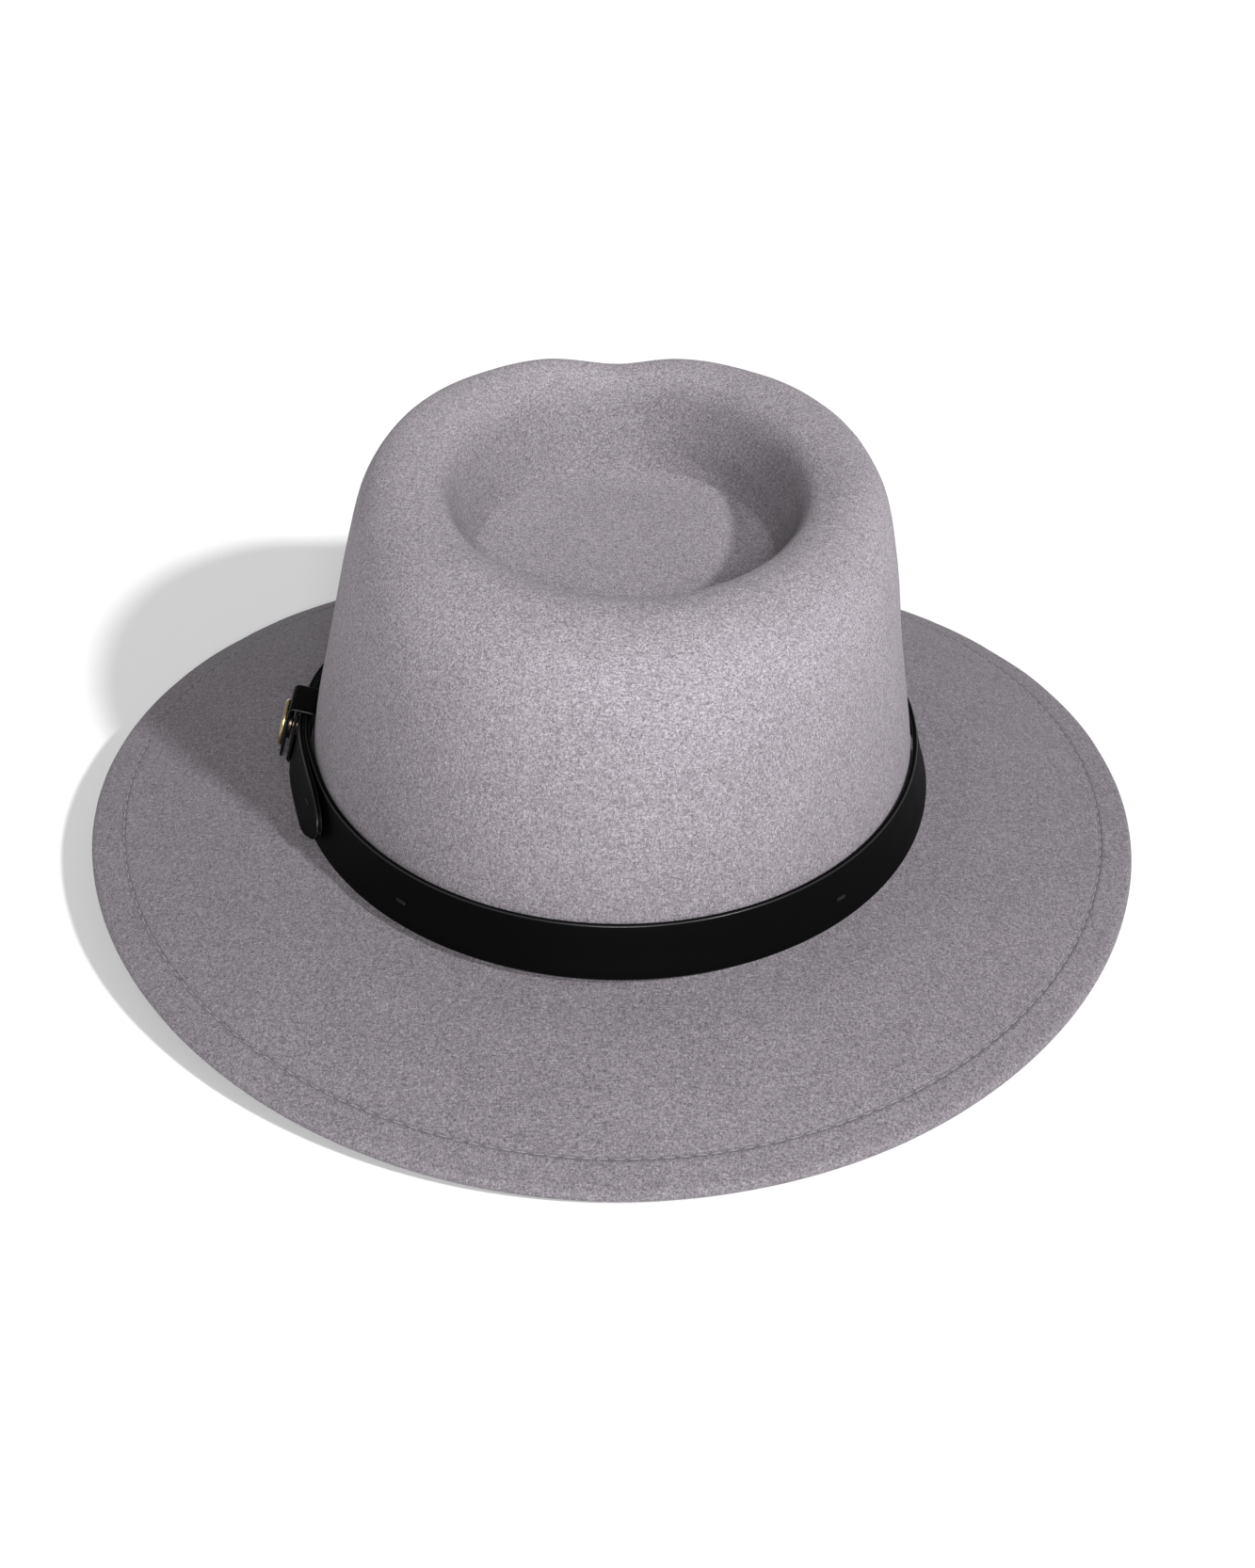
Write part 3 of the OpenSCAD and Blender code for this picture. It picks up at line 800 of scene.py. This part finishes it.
ringPiece("sweatLeatherBand", sweatProfile, sweatLeather, "sweatband")
ringPiece("reedCord", cordProfile, plastic, "sweatband_reed")
ringPiece("reedTape", tapeProfile, blackRibbon, "reed_tape")
sweatSeamV = wallV(sweat["low"] + 2)
sweatSeam = stitchRun("sweatSeam", sweat["stitches"], sweat["stitchShare"],
                      lambda t: under(t, sweatSeamV, sweatDepth + sweat["thickness"] - 0.05),
                      lambda t: -outward(t, sweatSeamV), sweat["stitchWidth"],
                      sweatThread)
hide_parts("sweatband_stitches")


# a point on the inside of the sweatband at the back: x across, z up, d off the leather
def insideBack(x, z, d):
    t = math.pi / 2 - x / (footA ** 2 / footB)
    return under(t, wallV(z), sweatDepth + sweat["thickness"] + d)


bow = {"z": 30, "reach": 8.6, "ribbon": 4.2, "knot": 2.6}


def buildBow():
    parts = bmesh.new()
    for side in (-1, 1):
        path = []
        for i in range(17):
            a = math.pi * 2 * i / 16
            x = side * (bow["reach"] / 2 + 0.3 - bow["reach"] / 2 * math.cos(a))
            path.append((x, 0.65 - 0.35 * math.sin(a)))

        def place(ring, slot, path=path):
            x, d = path[ring]
            lower = slot in (0, 3)
            outerSide = slot in (0, 1)
            pinch = 0.42 + 0.58 * ease(abs(x) / 4)
            height = bow["ribbon"] / 2 * pinch * (-1 if lower else 1)
            return insideBack(x, bow["z"] + height, d + (0.12 if outerSide else -0.12))

        bm = loftRings(place, len(path), 4, "filled")
        mesh = bpy.data.meshes.new("loop")
        bm.to_mesh(mesh)
        bm.free()
        parts.from_mesh(mesh)
        bpy.data.meshes.remove(mesh)

    def knotPlace(ring, slot):
        a = math.tau * ring / 12
        half = bow["knot"] / 2 * (1 if slot in (1, 2) else -1)
        r = 1 if slot in (0, 1) else 0.75
        return insideBack(half, bow["z"] + 1.7 * r * math.cos(a), 0.75 + 0.62 * r * math.sin(a))

    bm = loftRings(knotPlace, 12, 4, "joined")
    mesh = bpy.data.meshes.new("knot")
    bm.to_mesh(mesh)
    bm.free()
    parts.from_mesh(mesh)
    bpy.data.meshes.remove(mesh)
    bmesh.ops.recalc_face_normals(parts, faces=parts.faces)
    piece = newObject("sweatBow", parts, blackRibbon)
    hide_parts("sweatband_bow")


label = {"width": 18, "height": 12, "low": 12, "hem": 1.2, "across": 20, "rows": 12}


def buildLabel():
    def place(ring, slot):
        across = label["across"]
        back = slot > across
        fx = (2 * across + 1 - slot if back else slot) / across
        x = label["width"] * (fx - 0.5)
        z = label["low"] + label["height"] * ring / label["rows"]
        hem = 0.12 if min(abs(fx), abs(1 - fx)) * label["width"] < label["hem"] else 0
        return insideBack(x, z, 0.12 if back else 0.36 + hem)

    bm = loftRings(place, label["rows"] + 1, 2 * label["across"] + 2, "filled")
    piece = newObject("plainLabel", bm, labelCloth)
    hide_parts("size_label")


buildBow()
buildLabel()
print("sweatband made")

# small fittings keep their own solids
kept = {"brim_wire": steel, "wire_joiner": steel, "snap_spring": steel, "band_tacks": tackThread,
        "tip_tack": tackThread, "snap_socket": innerBrass,
        "snap_stud": innerBrass, "snap_eyelet": innerBrass}
for name, finish in kept.items():
    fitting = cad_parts[name]
    fitting.data.materials.clear()
    fitting.data.materials.append(finish)
print("fittings finished")

# pale floor, a firm key from the right and a softer fill from straight behind the viewer
light = {"key": 2.85, "keySoft": 4, "keyTurn": 48, "keyHeight": 38,
         "fill": 2.8, "fillSoft": 20, "fillTurn": 2, "fillHeight": 32,
         "sky": 0.25, "floor": (0.88, 0.88, 0.88)}
view = {"turn": 178, "height": 29.5, "distance": 0.675, "aim": (0, 0, 0.063), "roll": -0.7,
        "lens": 55.1, "sensor": 36, "shiftAcross": 0.0087, "shiftUp": -0.09}


def aimed(spot, target):
    return (Vector(target) - Vector(spot)).to_track_quat("-Z", "Y").to_euler()


def around(turn, height, reach, target=(0, 0, 0.05)):
    a, e = math.radians(turn), math.radians(height)
    return Vector(target) + reach * Vector((math.sin(a) * math.cos(e), -math.cos(a) * math.cos(e),
                                            math.sin(e)))


def addSun(name, turn, height, soft, power):
    lamp = bpy.data.lights.new(name, "SUN")
    lamp.angle = math.radians(soft)
    lamp.energy = power
    holder = bpy.data.objects.new(name, lamp)
    holder.location = around(view["turn"] + turn, height, 3)
    holder.rotation_euler = aimed(holder.location, (0, 0, 0.05))
    bpy.context.scene.collection.objects.link(holder)


def makeStage():
    bm = bmesh.new()
    bmesh.ops.create_grid(bm, x_segments=4, y_segments=4, size=6000)
    paper = Finish("paleFloor", Specular_IOR_Level=0.1)
    tone = paper.noise(3, 2, 0.5)
    paper.set(Base_Color=paper.mixColour(tone * 0.1, light["floor"], (0.82, 0.82, 0.82)),
              Roughness=0.9)
    newObject("studioFloor", bm, paper.material, None)
    world = bpy.data.worlds.new("studio")
    world.use_nodes = True
    sky = world.node_tree.nodes["Background"]
    sky.inputs[0].default_value = (1, 1, 1, 1)
    sky.inputs[1].default_value = light["sky"]
    bpy.context.scene.world = world
    bpy.context.scene.view_settings.view_transform = "Standard"


makeStage()
addSun("keyLight", light["keyTurn"], light["keyHeight"], light["keySoft"], light["key"])
addSun("fillLight", light["fillTurn"], light["fillHeight"], light["fillSoft"], light["fill"])


def makeCamera():
    lens = bpy.data.cameras.new("camera")
    lens.lens = view["lens"]
    lens.sensor_width = view["sensor"]
    lens.clip_start = 0.01
    lens.shift_x = view["shiftAcross"]
    lens.shift_y = view["shiftUp"]
    holder = bpy.data.objects.new("camera", lens)
    spot = around(view["turn"], view["height"], view["distance"], view["aim"])
    look = (Vector(view["aim"]) - spot).to_track_quat("-Z", "Y").to_matrix().to_4x4()
    holder.matrix_world = (Matrix.Translation(spot) @ look
                           @ Matrix.Rotation(math.radians(-view["roll"]), 4, "Z"))
    bpy.context.scene.collection.objects.link(holder)
    bpy.context.scene.camera = holder


makeCamera()
print("stage, lights and camera made")
